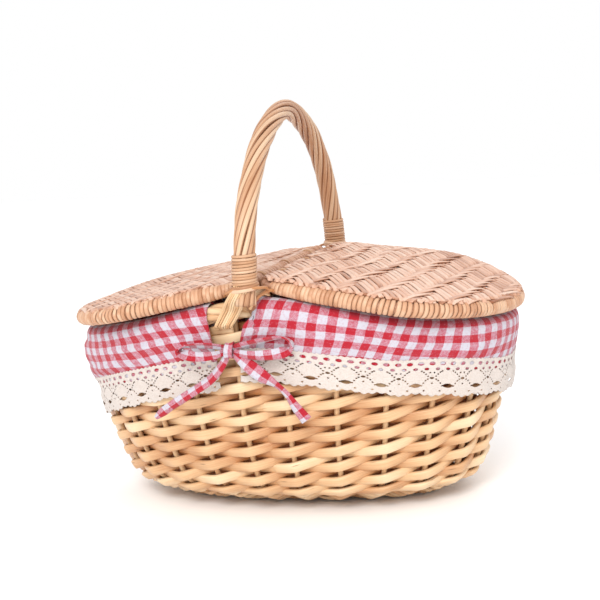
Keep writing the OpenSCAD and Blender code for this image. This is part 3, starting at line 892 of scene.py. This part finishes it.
def lid_weave(side, back):
    """Split willow plaited on the bias: broad bands in which one direction floats over the other."""
    outline = lid_outline()
    half, reach = 2.35, 260.0
    float_height = 0.55 if back else 0.95
    families = (("a", math.radians(70), -1), ("b", math.radians(-60), 1))
    normals = {name: np.array([-math.sin(angle), math.cos(angle)]) for name, angle, _ in families}
    centre = np.array([100.0, 0.0])
    loops = np.array(LOOP_YS + tuple(-y for y in LOOP_YS))
    up = on_lid(UP, back, free=True)
    for name, angle, sign in families:
        rods = Rods((101 if name == "a" else 102) + 10 * back)
        rng = random.Random(41 + back * 7 + (sign > 0))
        direction, normal = np.array([math.cos(angle), math.sin(angle)]), normals[name]
        off, count = -205.0, 0
        while off < 205:
            count += 1
            off += 2 * half + (0.8 if rng.random() < 0.4 else 0.1)
            group_shift = 3.0 * math.sin(1.7 * (count // 4) + back)
            s = np.arange(-reach, reach, 3.0)
            flat = centre + s[:, None] * direction + off * normal
            flat = flat + wander(rng, len(s), 0.4, 14)[:, None] * normal
            edge = edge_distance(flat, outline)
            clear_of_loop = np.abs(flat[:, 1, None] - loops).min(1) > 4.5
            start = HINGE_X + (6.6 if back else np.where(clear_of_loop, -2.8, 6.6))
            keep = (edge > -2.8) & (flat[:, 0] > start)
            place_on = (flat - centre) @ np.stack([normals["a"], normals["b"]], 1)
            blur = 2.2 * np.sin(flat[:, 0] / 23 + 1.3) + 2.0 * np.sin(flat[:, 1] / 29 + flat[:, 0] / 41)
            band = (place_on[:, 0] - 0.4 * place_on[:, 1] + group_shift + blur) / 33
            wave = sign * np.clip(2.2 * (np.cos(2 * PI * band) + 0.55), -1, 1)
            runs = np.split(np.arange(len(s)), np.where(np.diff(keep.astype(int)) != 0)[0] + 1)
            for run in runs:
                if not keep[run[0]] or len(run) < 4:
                    continue
                calm = 0.15 + 0.85 * smooth((edge[run] - 1) / 9)
                height = (panel_height(flat[run, 0], edge[run], back) + float_height * calm * wave[run]
                          + wander(rng, len(run), 0.15, 6))
                p = np.concatenate([flat[run], height[:, None]], 1)
                # painted shade: a strip is coloured darker where it dives under the other family
                rods.add(on_lid(p, back), up, half, 0.8, deep=0.3 - 0.3 * wave[run], power=0.8)
        nodes = ["lid_weave_" + side] if name == "a" else []
        rods.build(f"lid_weave_{side}_{name}", LID_WILLOW, "lid_" + side, nodes)


def hoop_taper(s, length):
    """How much thinner the hoop is near its two ends, where it is pinned to the bar."""
    return 2.2 * (1 - smooth(np.minimum(s, length - s) / 45))


def lid_frame(side, back):
    """Inner stick, bent hoop and ribs of one lid."""
    body = "lid_" + side
    up = on_lid(UP, back, free=True)
    path, s = even_path(lid_outline(), 3.0)
    flat = xyz(path[:, 0], path[:, 1], 0.0)
    hoop = Rods(121 + back)
    size = HOOP_R - 0.5 - hoop_taper(s, s[-1])
    hoop.add(on_lid(flat, back), up, size, size, tone=0.25, deep=0.1, sides=12)
    hoop.build("lid_hoop_" + side, BAR_WILLOW, body)
    bar = Rods(123 + back)
    y = np.linspace(-BAR_HALF - 3, BAR_HALF + 3, 80)
    bar.add(on_lid(xyz(HINGE_X, y, 0.0), back), up, BAR_R, BAR_R, tone=0.55, deep=0.1, sides=16)
    bar.build("lid_bar_" + side, BAR_WILLOW, body)
    ribs = Rods(125 + back)
    for y0 in (-90, -54, -36, -18, 18, 36, 54, 90):
        end = LID_WIDE_X + (LID_A - LID_WIDE_X) * (1 - (abs(y0) / LID_B) ** LID_END_N) ** (1 / LID_END_N)
        x = np.linspace(HINGE_X, end, 50)
        ribs.add(on_lid(xyz(x, y0, 0.0), back), up, 1.9, 0.9, deep=0.6)
    ribs.build("lid_ribs_" + side, BAR_WILLOW, body)


def winding(rods, rng, path, up, radius, pitch, wide, thick, per_turn, wobble, swing=0.0):
    """A strip wound round a path; every turn has its own tone, and swing crowds the turns in places."""
    way = way_along(path)
    length = way[-1]
    turns = int(length / pitch)
    n = turns * per_turn
    f = np.linspace(0, 1, n)
    shift = wander(rng, n, wobble, turns * 2)
    at = np.clip((f - swing * np.sin(4 * PI * f) / (4 * PI)) * length + shift, 0, length)
    radius = np.interp(at, way, np.broadcast_to(radius, len(path)))
    middle = points_at(at, way, path)
    tangent = unit(points_at(at, way, unit(np.gradient(path, axis=0))))
    side = unit(np.cross(tangent, up))
    over = np.cross(side, tangent)
    direction = around(2 * PI * turns * f, side, over)
    tone = np.array([rng.random() for _ in range(turns + 2)])[(f * turns).astype(int)]
    lift = wander(rng, n, thick * 0.22, turns)
    rods.add(middle + direction * (radius + lift)[:, None], direction, wide, thick, tone=tone, sides=6)


def lid_windings(side, back):
    """Skein wound round the hoop and, between the hinge loops, round the inner stick."""
    rng = random.Random(60 + back)
    up = on_lid(UP, back, free=True)
    path, s = even_path(lid_outline(), 2.0)
    wound = (s > 13) & (s < s[-1] - 13)
    flat = xyz(path[:, 0], path[:, 1], 0.0)[wound]
    radius = (HOOP_R + 0.2 - hoop_taper(s, s[-1]))[wound]
    rods = Rods(131 + back)
    winding(rods, rng, on_lid(flat, back), up, radius, 3.6, 1.95, 0.85, 16, 0.4, 0.17)
    rods.build("lid_hoop_winding_" + side, HOOP_WILLOW, "lid_" + side)
    rods = Rods(133 + back)
    gap = 2.7
    starts = [-BAR_HALF + 4] + [y + gap for y in LOOP_YS]
    ends = [y - gap for y in LOOP_YS] + [BAR_HALF - 4]
    for low, high in zip(starts, ends):
        y = np.linspace(low, high, 40)
        winding(rods, rng, on_lid(xyz(HINGE_X, y, 0.0), back), up, BAR_R + 0.5, 2.1, 1.1, 0.75, 14, 0.12)
    rods.build("lid_bar_winding_" + side, BAR_WILLOW, "lid_" + side)


side_stakes()
side_weave()
base_wale()
base_rods()
top_border()
handle_rods()
handle_core()
for suffix, back in (("near", False), ("far", True)):
    handle_binding("handle_binding_" + suffix, back)
    handle_lashing("handle_lashing_" + suffix, back)
crossbar()
for side, back in (("right", False), ("left", True)):
    hinge_loops("hinge_loops_" + side, back)
    lid_frame(side, back)
    lid_weave(side, back)
    lid_windings(side, back)

# ---------- cloth ----------

FOLD_R, INNER_LEG = 9.2, 10.0      # the cloth's fold over the border, and the leg of it inside the basket
CLOTH_THICK, LACE_THICK = 0.9, 0.7
MOTIF = 26.5                       # length of one repeat of the lace
TUCK = 10.0                        # the gingham reaches this far down behind the lace


def rim_share(s):
    """Angle at a distance s round the rim from the middle of the near side."""
    return t_at(np.asarray(s, float) / RIM_LENGTH)


def hem_at(t, side):
    """Drop of the gingham hem below the rim's middle line."""
    if side == "left":
        return HEM_DROP + 2.3 + LEFT_SAG * np.maximum(0, -np.cos(t)) ** 3
    x = rim(t)[..., 0]
    return HEM_DROP - 4.0 * smooth((x - 95) / 40) + 4.0 * smooth((x - 150) / 40)


def lace_tall(t, side):
    """Height of the lace where it shows."""
    if side == "left":
        return LACE_H + 3.0 * np.maximum(0, -np.cos(t)) ** 3
    return LACE_H - 1.0 + 2.5 * smooth((rim(t)[..., 0] - 95) / 50) - 2.0 * smooth((rim(t)[..., 0] - 150) / 25)


def sheet_point(t, d, bulge):
    """A point of the cloth hanging d millimetres below the border's middle line; bulge lifts it off."""
    z = rim(t)[..., 2] - d
    w = smooth(d / 13)
    off = 2.3 + bulge
    a = (1 - w) * (BODY_A - RIM_IN + FOLD_R) + w * (BODY_A - draw_in(z) + off)
    b = (1 - w) * (BODY_B - RIM_IN + FOLD_R) + w * (BODY_B - draw_in(z) - lean(z) + off)
    return xyz(*oval(a, b, t), z)


def two_faces(points, across, thick):
    """The points of both faces of a sheet from the grid of its middle, across being the run of its rows."""
    half = unit(np.cross(across, np.gradient(points, axis=0))) * thick / 2
    return np.concatenate([(points + half).reshape(-1, 3), (points - half).reshape(-1, 3)])


def grid_mesh(name, points, cloth, thick, material, keep=None, wrap=False):
    """A sheet with a real thickness from a grid of points; keep says which cells are there."""
    points = np.asarray(points, float)
    rows, columns = points.shape[:2]
    across = (np.roll(points, -1, 1) - np.roll(points, 1, 1)) / 2 if wrap else np.gradient(points, axis=1)
    both = two_faces(points, across, thick)
    i = np.arange(rows - 1)[:, None]
    j = np.arange(columns if wrap else columns - 1)[None]
    k = (j + 1) % columns
    cells = np.stack(np.broadcast_arrays(i * columns + j, i * columns + k, (i + 1) * columns + k,
                                         (i + 1) * columns + j), -1)
    cells = cells.reshape(-1, 4) if keep is None else cells[keep]
    edges = np.concatenate([cells[:, [0, 1]], cells[:, [1, 2]], cells[:, [2, 3]], cells[:, [3, 0]]])
    key = np.sort(edges, 1)
    _, first, number = np.unique(key, axis=0, return_index=True, return_counts=True)
    rim_edges = edges[first[number == 1]]
    n = rows * columns
    sides = np.stack([rim_edges[:, 1], rim_edges[:, 0], rim_edges[:, 0] + n, rim_edges[:, 1] + n], -1)
    faces = np.concatenate([cells, cells[:, ::-1] + n, sides])
    used, back = np.unique(faces, return_inverse=True)
    obj = new_mesh(name, both[used] * MM, back.reshape(-1, 4).tolist(), material)
    set_attribute(obj.data, "cloth", np.concatenate([cloth.reshape(-1, 3)] * 2)[used])
    return obj


def bumps(s, d, rng, size, pitch, lean_to):
    """Soft folds that run down the cloth, pitch apart, leaning to one side as they fall."""
    total = np.zeros(np.broadcast(s, d).shape)
    for k in range(5):
        wave = pitch * (0.55 + 0.35 * k)
        start = rng.uniform(0, 2 * PI)
        total = total + math.sqrt(wave / pitch) * np.cos(2 * PI * (s + lean_to * d) / wave + start)
    return size * total / 2.2


def crease(x, v, x0, v0, x1, v1, width):
    """Height of a ridge from one place to another, fading at both ends."""
    dx, dv = x1 - x0, v1 - v0
    length2 = dx * dx + dv * dv
    f = np.clip(((x - x0) * dx + (v - v0) * dv) / length2, 0, 1)
    gap2 = (x - x0 - f * dx) ** 2 + (v - v0 - f * dv) ** 2
    return np.exp(-gap2 / width ** 2) * np.sin(PI * np.clip(f, 0.06, 0.94))


# Ridges pressed in the near side of each flap: two places (along the rim, down the cloth), height and width
CREASES = {"right": [(22, 16, 58, -3, 2.2, 5), (52, 8, 96, 9, 1.8, 3.5), (100, 12, 150, 4, 1.2, 4),
                     (-4, 24, 30, 20, 1.5, 4), (150, 24, 190, 6, 2.4, 6), (176, 28, 205, 4, 2.0, 5)],
           "left": [(-60, 10, -36, 26, 2.2, 4), (-150, 12, -52, 15, 1.6, 3), (-200, 34, -120, 24, 2.2, 4.5),
                    (-215, 8, -160, 2, 2.2, 4), (-214, 26, -186, 44, 2.5, 6)]}
EDGE_DROPS, EDGE_XS = (-30, -14, 0, 7, 26, 41, 61), (4, 4, -2, -9.5, -15.5, -16, -18.5)


def flap_range(side, d):
    """Where the cloth starts and ends round the rim, at a drop d."""
    pulled = np.interp(d, EDGE_DROPS, EDGE_XS)
    straight = np.interp(d, (-5, 25), (39, 35))
    if side == "right":
        return pulled, RIM_LENGTH / 2 - straight
    return RIM_LENGTH / 2 + pulled, RIM_LENGTH - straight


def flap_bulge(side, s, d, drop):
    rng = random.Random(71 if side == "right" else 72)
    near = np.where(s > RIM_LENGTH / 2, s - RIM_LENGTH, s)
    t = rim_share(s)
    end = smooth((np.abs(np.cos(t)) - 0.72) / 0.2)
    hang = smooth(d / 18)
    belly = np.sin(PI * np.clip(d / (drop * 1.1), 0, 1))
    lift = 0.3 + belly * (2.6 + end * (2.4 if side == "left" else -1.0))
    lift = lift + hang * (0.4 + 0.5 * end) * (1 + bumps(s, d, rng, 1.0, 26, -0.3)) * 0.5
    if side == "left":
        lift = lift + end * (2.2 * np.exp(-((d - 5) / 7) ** 2) - 1.8 * smooth((d - 16) / 12))
    else:
        lift = lift - 2.3 * end * hang
    for x0, v0, x1, v1, height, width in CREASES[side]:
        lift = lift + height * crease(near, d, x0, v0, x1, v1, width)
        lift = lift + 0.7 * height * crease(RIM_LENGTH / 2 - np.abs(near) * np.sign(x0), d, abs(x0) + 14, v0,
                                            abs(x1) + 14, v1, width)
    return lift


def flap(side):
    """One of the two parts of the lining folded out over the border."""
    columns, rows = 260, 62
    p = np.linspace(0, 1, rows)[:, None]
    f = np.linspace(0, 1, columns)[None]
    fold = INNER_LEG + PI * FOLD_R
    low, high = flap_range(side, np.zeros(1))
    s = low + (high - low) * f + 0 * p
    for _ in range(2):
        drop = hem_at(rim_share(s), side)
        way = p * (fold + drop + TUCK)
        d = way - fold
        low, high = flap_range(side, d)
        s = low + (high - low) * f
    t = rim_share(s)
    angle = np.clip((way - INNER_LEG) / FOLD_R, 0, PI)
    out = -FOLD_R * np.cos(angle)
    up = np.where(way < INNER_LEG, way - INNER_LEG, FOLD_R * np.sin(angle))
    near_handle = 1 - smooth((np.abs(rim(t)[..., 0]) - 25) / 100)
    over = rim(t, out, up + 3.8 * near_handle * np.maximum(np.sin(angle), 0))
    hang = sheet_point(t, np.maximum(d, 0), flap_bulge(side, s, np.maximum(d, 0), drop))
    points = np.where((d > 0)[..., None], hang, over)
    skew, near_end = (0.40, 0) if side == "right" else (-0.55, RIM_LENGTH)
    shear = skew * np.maximum(0, np.cos((s - near_end) / RIM_LENGTH * 3.2))
    drift = 1.5 * np.sin(s / 19 + d / 11) + 1.1 * np.sin(s / 37 - d / 16)
    pull = 1.3 * np.sin(s / 27 - d / 21) + 0.9 * np.sin(s / 11 + 1.0) * np.clip(d / 30, 0, 1)
    cloth = xyz(s + shear * d + drift, GATHER * d + pull, 0.0)
    obj = grid_mesh("flap_" + side, points, cloth, CLOTH_THICK, GINGHAM)
    place(obj, "basket", ["flap_" + side])


def ellipse(u, v, a, b):
    """About the distance outside an ellipse, below nought inside it."""
    return (np.sqrt((u / a) ** 2 + (v / b) ** 2) - 1) * min(a, b)


def lace_solid(u, v, height):
    """How far a place of the lace is inside the cotton: below nought is a hole or past the edge."""
    third = MOTIF / 3
    c = (u + MOTIF / 2) % MOTIF - MOTIF / 2
    far = (u % MOTIF) - MOTIF / 2
    small = (u + third / 2) % third - third / 2
    half = (u % third) - third / 2
    stretch = height / LACE_H
    w = v / stretch
    solid = ellipse(small, w - 4.6, 2.5, 1.5)
    solid = np.minimum(solid, ellipse(half, w - 8.9, 1.9, 1.15))
    for x, y in ((6.6, 11.6), (4.9, 13.2), (3.2, 14.8), (5.2, 18.4), (7.0, 20.4), (8.6, 22.4), (3.3, 17.2),
                 (8.4, 10.6), (1.7, 11.9)):
        for sign in (-1, 1):
            solid = np.minimum(solid, ellipse(c - sign * x, w - y, 0.85, 0.7))
    solid = np.minimum(solid, ellipse(c, w - 16.3, 1.9, 0.95))
    solid = np.minimum(solid, ellipse(c, w - 20.6, 0.9, 0.7))
    solid = np.minimum(solid, ellipse(far, w - 22.3, 3.9, 1.7))
    for x in (-6.6, 6.6):
        solid = np.minimum(solid, ellipse(far - x, w - 26.6, 1.0, 0.75))
    scallop = 28.9 + 1.5 * np.abs(np.cos(PI * u / (MOTIF / 4))) + 0.9 * np.cos(2 * PI * u / MOTIF)
    heading = w - 0.9 - 0.45 * np.cos(2 * PI * u / (MOTIF / 6))
    return np.minimum(np.minimum(solid, heading), scallop - w)


def lace(side):
    """Lace under one flap's hem: a fine grid without its holes, whose edges are moved onto their outlines."""
    step_u, step_v, reach = 0.72, 0.6, 39.5
    columns = int((RIM_LENGTH / 2 - 40) / step_u)
    rows = int(reach / step_v)
    q = np.linspace(0.0, reach, rows)[:, None]
    f = np.linspace(0, 1, columns)[None]
    s = RIM_LENGTH / 2 * (0.04 + 0.9 * f) + (0 if side == "right" else RIM_LENGTH / 2)
    for _ in range(2):
        t = rim_share(s)
        drop = hem_at(t, side)
        tall = lace_tall(t, side)
        low, high = flap_range(side, drop + q)
        s = low + (high - low) * f
    u = s + 0 * q
    v = q + 0 * s
    tall = tall + 0 * v
    solid = lace_solid(u, v, tall)
    middle = (solid[:-1, :-1] + solid[1:, :-1] + solid[:-1, 1:] + solid[1:, 1:]) / 4
    keep = middle > 0
    kept = np.zeros((rows, columns), int)
    for a in (0, 1):
        for b in (0, 1):
            kept[a:rows - 1 + a, b:columns - 1 + b] += keep
    edge = (kept > 0) & (kept < 4)
    edge[0] = edge[:, 0] = edge[:, -1] = False
    e = 0.05
    for _ in range(2):
        value = lace_solid(u, v, tall)
        du = (lace_solid(u + e, v, tall) - lace_solid(u - e, v, tall)) / (2 * e)
        dv = (lace_solid(u, v + e, tall) - lace_solid(u, v - e, tall)) / (2 * e)
        size = np.maximum(du * du + dv * dv, 0.2)
        move = np.clip(value / size, -0.5, 0.5) * edge
        u = u - move * du
        v = v - move * dv
    t = rim_share(u)
    drop = hem_at(t, side)
    rng = random.Random(77)
    under = flap_bulge(side, u, drop + v, drop)
    free = 0.5 + 0.6 * (1 + bumps(u, v, rng, 0.6, 30, 0)) * smooth(v / 20)
    w = smooth((v - TUCK) / 8)
    lift = (1 - w) * (under + 0.95) + w * free
    stitch = 0.18 * np.sin(u * 2.6) * np.sin(v * 3.1) * smooth(v / 2)
    points = sheet_point(t, drop + v, lift + stitch)
    obj = grid_mesh("lace_" + side, points, xyz(u, v, 0.0), LACE_THICK, LACE, keep)
    place(obj, "basket", ["lace_" + side])


def liner():
    """Cotton pouch inside the basket, sewn to the folded flaps."""
    columns = 240
    t = ring(columns)[None]
    floor_z = 12.2
    grow = np.concatenate([np.linspace(0.02, 1, 26)[:-1], np.ones(44)])[:, None]
    f = np.concatenate([np.zeros(25), np.linspace(0, 1, 44)])[:, None]
    top = rim(t)[..., 2] - INNER_LEG + 2
    climb = climb_at(floor_z)
    z = z_at(climb + (climb_at(top) - climb) * f)
    rng = random.Random(78)
    depth = -17.0 - 11.0 * smooth((1 - f) / 0.2)
    folds = 0.9 * (1 + bumps(RIM_LENGTH * t / (2 * PI), z, rng, 0.8, 60, 0)) * np.sin(PI * np.clip(f, 0, 1))
    a = (BODY_A - draw_in(z) + depth - folds) * grow
    b = (BODY_B - draw_in(z) - lean(z) + depth - folds) * grow
    x, y = oval(a, b, t)
    z = z + 0.5 * np.sin(x / 17) * np.sin(y / 13) * (f == 0)
    points = xyz(x, y, z)
    steps = np.linalg.norm(np.diff(points, axis=0), axis=2)
    way = np.concatenate([np.zeros((1, columns)), np.cumsum(steps, axis=0)])
    flat = f == 0
    cloth = xyz(np.where(flat, x, RIM_LENGTH * t / (2 * PI)), np.where(flat, y, way), 0.0)
    obj = grid_mesh("liner", points[::-1], cloth[::-1], CLOTH_THICK, GINGHAM, wrap=True)
    # painted shade: the liner's outer face is marked to be coloured dark, as it lies in the shade behind the
    # weave
    spread = np.linalg.norm(np.array([v.co[:2] for v in obj.data.vertices]).reshape(2, -1, 2), axis=2)
    outer = spread[0] > spread[1]
    set_attribute(obj.data, "dim", 0.9 * np.concatenate([outer, ~outer]))
    place(obj, "basket", ["liner"])


def tape(path, wide, half, start):
    """Points and cloth places of a strip of gingham along a path; wide is the direction across it."""
    u = np.linspace(0, len(path) - 1, 12 * (len(path) - 1))
    middle = smooth_path(path, u)
    across = smooth_path(wide, u)
    half = smooth_curve(half, u)[:, None]
    tangent = unit(np.gradient(middle, axis=0))
    across = unit(across - (across * tangent).sum(1)[:, None] * tangent)
    face = np.cross(tangent, across)
    f = np.linspace(-1, 1, 9)[None]
    curl = 0.9 * (f ** 2)
    points = middle[:, None] + across[:, None] * (half * f)[..., None] - face[:, None] * curl[..., None]
    return points, xyz(4.9 * f + 3.5, way_along(middle)[:, None] + start, 0.0)


# Tapes of the bow: where each starts on the check, then its points from the knot (right, up, out), each with
# the way across the tape (x, y, z) and half its width
BOW_TAPES = (
    (2, ((2, 1, 1.5, 0, -0.3, 1, 2.4), (14, 4, 3.5, 0, -0.8, 0.7, 3.6), (30, 7, 4, 0, -0.9, 0.5, 4.4),
         (43, 8.5, 2.6, 0, -1, 0.25, 4.6), (49, 5, 1, 0, -1, 0, 4.6), (48.5, 0, 2.5, 0.1, -0.8, -0.5, 4.6),
         (38, -3.5, 5.2, 0, 0.1, -1, 4.5), (20, -4.5, 5.2, 0, 0.3, -1, 3.9), (3, -2, 2.6, 0, 0, -1, 2.2))),
    (5, ((-2, 1, 1.5, 0, -0.3, 1, 2.2), (-12, 3.5, 3, 0, -0.7, 0.8, 3.2), (-26, 4.5, 4, 0, -0.8, 0.6, 3.9),
         (-37, 3.5, 3.4, 0, -1, 0.3, 4.2), (-42.5, 0.5, 2.4, 0, -1, 0, 4.3),
         (-40, -2.5, 4, 0, -0.8, -0.6, 4.2), (-28, -4.5, 5.4, 0, 0, -1, 4),
         (-14, -4, 4.4, 0, 0.3, -1, 3.4), (-3, -1.5, 2.2, 0, 0, -1, 2))),
    (9, ((-2, -3, 2, 1, 0.1, -0.6, 2.2), (-8, -13, 3.2, 1, -0.5, -0.5, 3.6),
         (-18.5, -24, 2.4, 0.8, -0.6, -0.8, 4), (-36, -35, 1.4, 0.5, -0.2, -1, 3.6),
         (-54, -46, 0.2, 0.6, 0.5, -0.9, 3.8), (-62, -51, -0.8, 0.5, 0.1, -1, 3.4),
         (-69, -56, -2.4, 0.5, 0.1, -1, 1.6))),
    (3, ((3, -3, 2, 0.7, 0.2, 1, 2.4), (14, -12, 3.4, 0.6, 0.2, 1, 5.2), (25, -21, 3, 0.7, 0, 1, 5.4),
         (36, -29, 1.8, 0.7, -0.6, 0.8, 3.4), (44, -37, 0.8, 1, -0.2, 0.6, 2.6),
         (50, -47, -0.6, 1, 0, 0.5, 3.8), (57.5, -58, -2.6, 1, 0.1, 0.5, 4.6))))
KNOT_X, KNOT_OUT, KNOT_Z = -19.0, 131.0, 149.0


def bow(name, back):
    """Bow of gingham tape: two loops, two tails and a knot, drawn on the near side."""
    strips = []
    for start, rows in BOW_TAPES:
        rows = np.array(rows)
        path = xyz(KNOT_X + rows[:, 0], -KNOT_OUT - rows[:, 2], KNOT_Z + rows[:, 1])
        strips.append(tape(path, rows[:, 3:6], rows[:, 6], start))
    a = np.linspace(-0.35, 2 * PI - 0.35, 12)
    knot = xyz(KNOT_X + 0.8 * np.sin(a), -KNOT_OUT - 3.2 - 4.0 * np.cos(a), KNOT_Z - 0.5 + 5.6 * np.sin(a))
    strips.append(tape(knot, [(1, 0.05, 0.12)] * 12, [3.3] * 12, 10))
    parts, cloth, faces, count = [], [], [], 0
    for points, marks in strips:
        n, m = points.shape[:2]
        i, j = np.meshgrid(np.arange(n - 1), np.arange(m - 1), indexing="ij")
        cell = np.stack([i * m + j, i * m + j + 1, (i + 1) * m + j + 1, (i + 1) * m + j], -1).reshape(-1, 4)
        number = np.arange(n * m).reshape(n, m)
        edge = np.concatenate([number[0], number[1:, -1], number[-1, -2::-1], number[-2:0:-1, 0]])
        after = np.roll(edge, -1)
        sides = np.stack([after, edge, edge + n * m, after + n * m], -1)
        faces += (np.concatenate([cell, cell[:, ::-1] + n * m, sides]) + count).tolist()
        parts.append(two_faces(points, np.gradient(points, axis=1), CLOTH_THICK))
        cloth.append(np.concatenate([marks.reshape(-1, 3)] * 2))
        count += 2 * n * m
    points = turned(np.concatenate(parts), back)
    obj = new_mesh(name, points * MM, faces, GINGHAM)
    set_attribute(obj.data, "cloth", np.concatenate(cloth))
    place(obj, "basket", [name])


flap("right")
flap("left")
lace("right")
lace("left")
liner()
bow("bow_near", False)
bow("bow_far", True)

# ---------- studio ----------


def studio():
    white = Nodes("floor")
    white.surface((1.0, 1.0, 1.0, 1), 0.9)
    size = 4.0
    floor = new_mesh("floor", [(-size, -size, 0), (size, -size, 0), (size, size, 0), (-size, size, 0)],
                     [(0, 1, 2, 3)], white.material)
    world = bpy.data.worlds.new("studio")
    world.use_nodes = True
    sky = world.node_tree.nodes["Background"].inputs
    sky["Color"].default_value = (1, 1, 1, 1)
    sky["Strength"].default_value = 1.0
    bpy.context.scene.world = world
    bpy.context.scene.view_settings.view_transform = "Standard"
    lights = (("key", (0.2, -2.0, 1.45), 34, 0.85), ("fill", (1.6, -1.0, 1.2), 2, 1.4),
              ("back", (0.3, 1.6, 1.6), 5, 1.2))
    for name, place_at, power, width in lights:
        light = bpy.data.lights.new(name, "AREA")
        light.energy = power
        light.size = width
        lamp = bpy.data.objects.new(name, light)
        lamp.location = place_at
        lamp.rotation_euler = (Vector((0, 0, 0.15)) - Vector(place_at)).to_track_quat("-Z", "Y").to_euler()
        bpy.context.scene.collection.objects.link(lamp)


studio()
